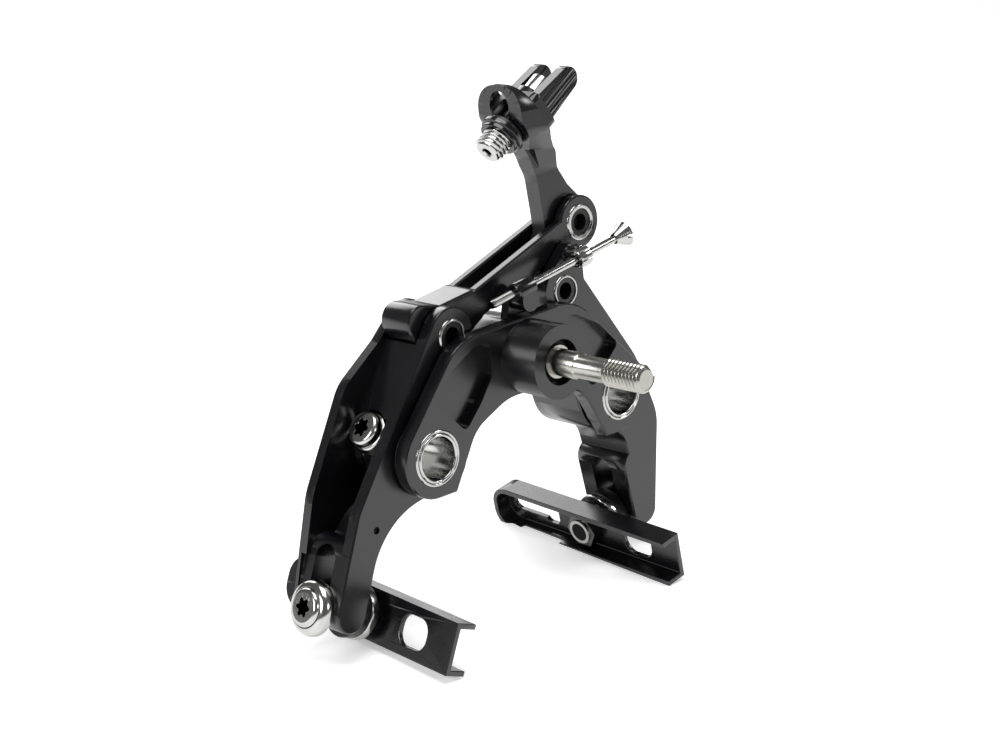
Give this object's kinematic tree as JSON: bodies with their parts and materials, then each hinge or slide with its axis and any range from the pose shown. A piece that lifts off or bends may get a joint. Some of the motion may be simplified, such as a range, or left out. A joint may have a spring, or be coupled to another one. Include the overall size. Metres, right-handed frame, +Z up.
{
  "type": "linkage rim brake caliper",
  "caption": "Cable-pulled linkage rim brake caliper: an arched bridge on one central stud carries two arms, joined by a link and an upright lever with a cable stop.",
  "frame": {"origin": "where the stud's axis passes through the mounting face of the bridge's boss", "axes": "+Y out of the mounting face through the caliper, +X to the arm with the cable's upright lever, +Z up"},
  "size_m": [0.1052, 0.0735, 0.1157],
  "materials": {
    "black_anodised": "satin black anodised",
    "polished_steel": "polished stainless steel",
    "stud_steel": "zinc plated steel",
    "black_steel": "black oxide steel",
    "silver_aluminium": "bright turned aluminium",
    "spring_steel": "drawn spring wire",
    "bush_plastic": "moulded bearing plastic"
  },
  "bodies": {
    "frame": {"bridge": "black_anodised", "mounting_stud": "stud_steel", "block_pin": "polished_steel", "pivot_sleeve_left": "polished_steel", "pivot_bush_left": "silver_aluminium", "thrust_washer_left": "bush_plastic", "sleeve_cap_left": "black_steel", "pivot_sleeve_right": "polished_steel", "pivot_bush_right": "silver_aluminium", "thrust_washer_right": "bush_plastic", "sleeve_cap_right": "black_steel"},
    "left_arm": {"left_arm": "black_anodised", "left_top_pin": "black_steel", "left_top_ring": "polished_steel", "anchor_bolt": "polished_steel", "anchor_clamp": "polished_steel", "return_spring_left": "spring_steel"},
    "right_arm": {"right_arm": "black_anodised", "right_top_pin": "black_steel", "right_top_ring": "polished_steel", "return_spring_right": "spring_steel"},
    "left_pad_mount": {"pad_bolt_left": "polished_steel", "dome_washer_left": "silver_aluminium", "cup_washer_left": "black_steel", "steel_ring_left": "silver_aluminium"},
    "right_pad_mount": {"pad_bolt_right": "polished_steel", "dome_washer_right": "silver_aluminium", "cup_washer_right": "black_steel", "steel_ring_right": "silver_aluminium"},
    "left_pad": {"pad_holder_left": "black_anodised", "ball_washer_left": "black_steel", "pad_nut_left": "polished_steel"},
    "right_pad": {"pad_holder_right": "black_anodised", "ball_washer_right": "black_steel", "pad_nut_right": "polished_steel"},
    "upright": {"upright": "black_anodised"},
    "link": {"link": "black_anodised", "link_pin": "black_steel", "link_pin_ring": "polished_steel"},
    "cable_stop": {"cable_stop": "black_anodised", "housing_ferrule": "polished_steel", "stop_washer": "black_steel"},
    "adjuster": {"adjuster_barrel": "black_anodised", "lock_ring": "black_anodised"},
    "centring_block": {"centring_block": "black_anodised"},
    "centring_screw": {"centring_screw": "polished_steel"},
    "screw_guide": {"screw_guide": "polished_steel"}
  },
  "joints": [
    {"name": "left_arm_pivot", "type": "hinge", "parent": "frame", "child": "left_arm", "pos_m": [-0.028, 0.02185, -0.0156], "axis": [0, -1, 0], "range_deg": [0, 14], "stiffness_Nm_per_rad": 0.5, "springref_deg": -28.65},
    {"name": "right_arm_pivot", "type": "hinge", "parent": "frame", "child": "right_arm", "pos_m": [0.028, 0.02185, -0.0156], "axis": [0, -1, 0], "range_deg": [-14.05, 0]},
    {"name": "upright_pivot", "type": "hinge", "parent": "right_arm", "child": "upright", "pos_m": [0.0166, 0.02185, 0.0101], "axis": [0, -1, 0], "range_deg": [0, 64.45]},
    {"name": "link_pivot", "type": "hinge", "parent": "upright", "child": "link", "pos_m": [0.0255, 0.02185, 0.0235], "axis": [0, -1, 0], "range_deg": [-46.11, 0]},
    {"name": "left_pad_height", "type": "slide", "parent": "left_arm", "child": "left_pad_mount", "axis": [0.3584, 0, 0.9336], "range_m": [-0.001, 0.004]},
    {"name": "right_pad_height", "type": "slide", "parent": "right_arm", "child": "right_pad_mount", "axis": [-0.2079, 0, 0.9781], "range_m": [-0.001, 0.004]},
    {"name": "left_pad_tilt", "type": "hinge", "parent": "left_pad_mount", "child": "left_pad", "pos_m": [-0.051, 0.02185, -0.0446], "axis": [-0.9336, 0, 0.3584], "range_deg": [-10, 10]},
    {"name": "right_pad_tilt", "type": "hinge", "parent": "right_pad_mount", "child": "right_pad", "pos_m": [0.0384, 0.02185, -0.047], "axis": [0.9781, 0, 0.2079], "range_deg": [-10, 10]},
    {"name": "cable_stop_slide", "type": "slide", "parent": "upright", "child": "cable_stop", "axis": [-0.5621, 0, 0.8271], "range_m": [0, 0.0044]},
    {"name": "adjuster_turn", "type": "hinge", "parent": "cable_stop", "child": "adjuster", "pos_m": [0.00917, 0.02185, 0.04668], "axis": [0.8271, 0, 0.5621], "continuous": true},
    {"name": "centring_block_swivel", "type": "hinge", "parent": "frame", "child": "centring_block", "pos_m": [0.0016, 0.0115, 0.0119], "axis": [0, -1, 0], "range_deg": [-0.393, 0]},
    {"name": "centring_screw_turn", "type": "hinge", "parent": "centring_block", "child": "centring_screw", "pos_m": [0.00117, 0.0115, 0.01436], "axis": [0.9854, 0, 0.1702], "continuous": true},
    {"name": "guide_swivel", "type": "hinge", "parent": "right_arm", "child": "screw_guide", "pos_m": [0.0194, 0.0115, 0.01751], "axis": [0, -1, 0], "range_deg": [0, 13.71]}
  ],
  "couplings": [
    {"joint": "right_arm_pivot", "follows": "left_arm_pivot", "ratio": -1},
    {"joint": "upright_pivot", "follows": "left_arm_pivot", "ratio": 4.6},
    {"joint": "link_pivot", "follows": "left_arm_pivot", "ratio": -3.29},
    {"joint": "centring_block_swivel", "follows": "left_arm_pivot", "ratio": -0.0245},
    {"joint": "guide_swivel", "follows": "left_arm_pivot", "ratio": 0.9755}
  ]
}
